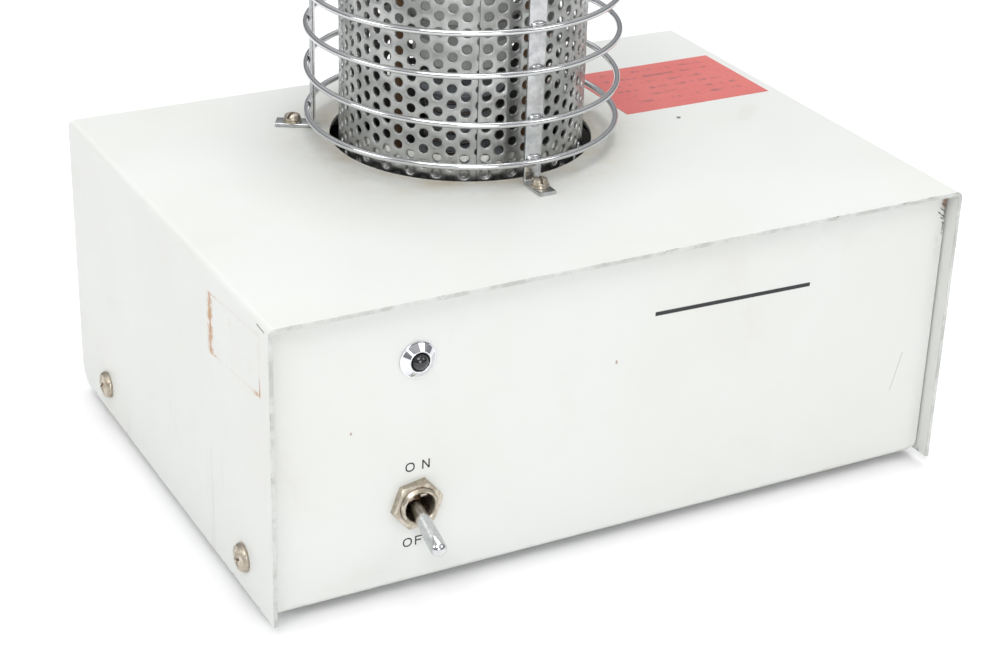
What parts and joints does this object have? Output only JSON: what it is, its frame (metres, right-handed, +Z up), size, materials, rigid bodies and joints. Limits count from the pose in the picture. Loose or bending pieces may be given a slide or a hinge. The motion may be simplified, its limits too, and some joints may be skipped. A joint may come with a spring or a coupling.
{
  "type": "bench ozone remover",
  "caption": "Bench air cleaner: painted sheet case with toggle switch and pilot lamp, and a perforated heated catalyst cylinder in a round wire guard on top.",
  "frame": {"origin": "on the table, under the centre of the whole box", "axes": "+X to the right seen from the front, +Y towards the back, +Z up; the switch is on the front, at -Y"},
  "size_m": [0.239, 0.2106, 0.2115],
  "materials": {
    "case_paint": "semi-gloss off-white paint with a faint green tone, a little dusty and worn",
    "zinc_steel": "zinc plated, slightly dull",
    "old_nickel": "old nickel plating gone brownish",
    "black_rubber": "matt moulded rubber",
    "red_label": "plain red stuck-on label, satin",
    "galvanised_steel": "galvanised sheet with stains",
    "bright_steel": "bright plated steel",
    "brown_ceramic": "brown fired ceramic",
    "grey_steel": "heat-dulled steel",
    "catalyst_ceramic": "dark porous ceramic",
    "white_ceramic": "off-white unglazed ceramic",
    "heating_wire": "oxidised resistance wire",
    "chrome_wire": "bright chromed wire",
    "chrome_strap": "chromed steel strip",
    "cast_aluminium": "as-cast aluminium",
    "motor_steel": "black enamel",
    "bearing_brass": "machined brass",
    "black_plastic": "moulded black plastic",
    "chrome_lever": "bright chrome plating",
    "brown_plastic": "moulded brown phenolic",
    "dark_lens": "dark glossy lens",
    "spun_aluminium": "spun aluminium, satin",
    "fuse_glass": "glass tube",
    "wire_insulation": "off-white woven sleeve"
  },
  "bodies": {
    "base": {"cover": "case_paint", "chassis": "case_paint", "clinch_nuts": "zinc_steel", "cover_screws": "old_nickel", "rubber_feet": "black_rubber", "foot_screws": "zinc_steel", "foot_nuts": "zinc_steel", "red_label": "red_label", "perforated_cylinder": "galvanised_steel", "cylinder_cap": "galvanised_steel", "outlet_collar": "bright_steel", "ceramic_posts": "brown_ceramic", "post_screws": "old_nickel", "cap_screws": "old_nickel", "catalyst_canister": "grey_steel", "catalyst_core": "catalyst_ceramic", "canister_bands": "galvanised_steel", "heater_former": "white_ceramic", "heater_coil": "heating_wire", "heater_bolt": "zinc_steel", "heater_nut": "zinc_steel", "thermal_cutout": "bright_steel", "guard_rings": "chrome_wire", "guard_straps": "chrome_strap", "guard_top": "chrome_wire", "guard_screws": "old_nickel", "guard_washers": "old_nickel", "guard_nuts": "zinc_steel", "fan_frame": "cast_aluminium", "fan_motor": "motor_steel", "fan_bearings": "bearing_brass", "fan_screws": "zinc_steel", "fan_pillars": "bearing_brass", "pillar_screws": "zinc_steel", "switch_bushing": "old_nickel", "switch_nut": "old_nickel", "switch_back_nut": "old_nickel", "switch_pin": "bright_steel", "switch_body": "brown_plastic", "switch_terminals": "bearing_brass", "lamp_bezel": "chrome_lever", "lamp_lens": "dark_lens", "lamp_holder": "black_plastic", "lamp_nut": "old_nickel", "hose_spigot": "spun_aluminium", "spigot_screws": "old_nickel", "mains_inlet": "black_plastic", "inlet_pins": "bright_steel", "inlet_screws": "old_nickel", "fuse_holder": "black_plastic", "fuse_nut": "old_nickel", "terminal_block": "white_ceramic", "terminal_screws": "bearing_brass", "wiring": "wire_insulation"},
    "fan": {"fan_rotor": "black_plastic", "fan_shaft": "bright_steel"},
    "toggle": {"switch_lever": "chrome_lever"},
    "fuse_carrier": {"fuse_cap": "black_plastic", "fuse": "fuse_glass"}
  },
  "joints": [
    {"name": "toggle_swing", "type": "hinge", "parent": "base", "child": "toggle", "pos_m": [-0.07, -0.08475, 0.0307], "axis": [-1, 0, 0], "range_deg": [0, 43.8]},
    {"name": "fan_spin", "type": "hinge", "parent": "base", "child": "fan", "pos_m": [-0.0035, 0.01685, 0.075], "axis": [0, 0, 1], "continuous": true},
    {"name": "fuse_cap_turn", "type": "hinge", "parent": "base", "child": "fuse_carrier", "pos_m": [-0.07, 0.07425, 0.068], "axis": [0, 1, 0], "range_deg": [0, 90]}
  ]
}
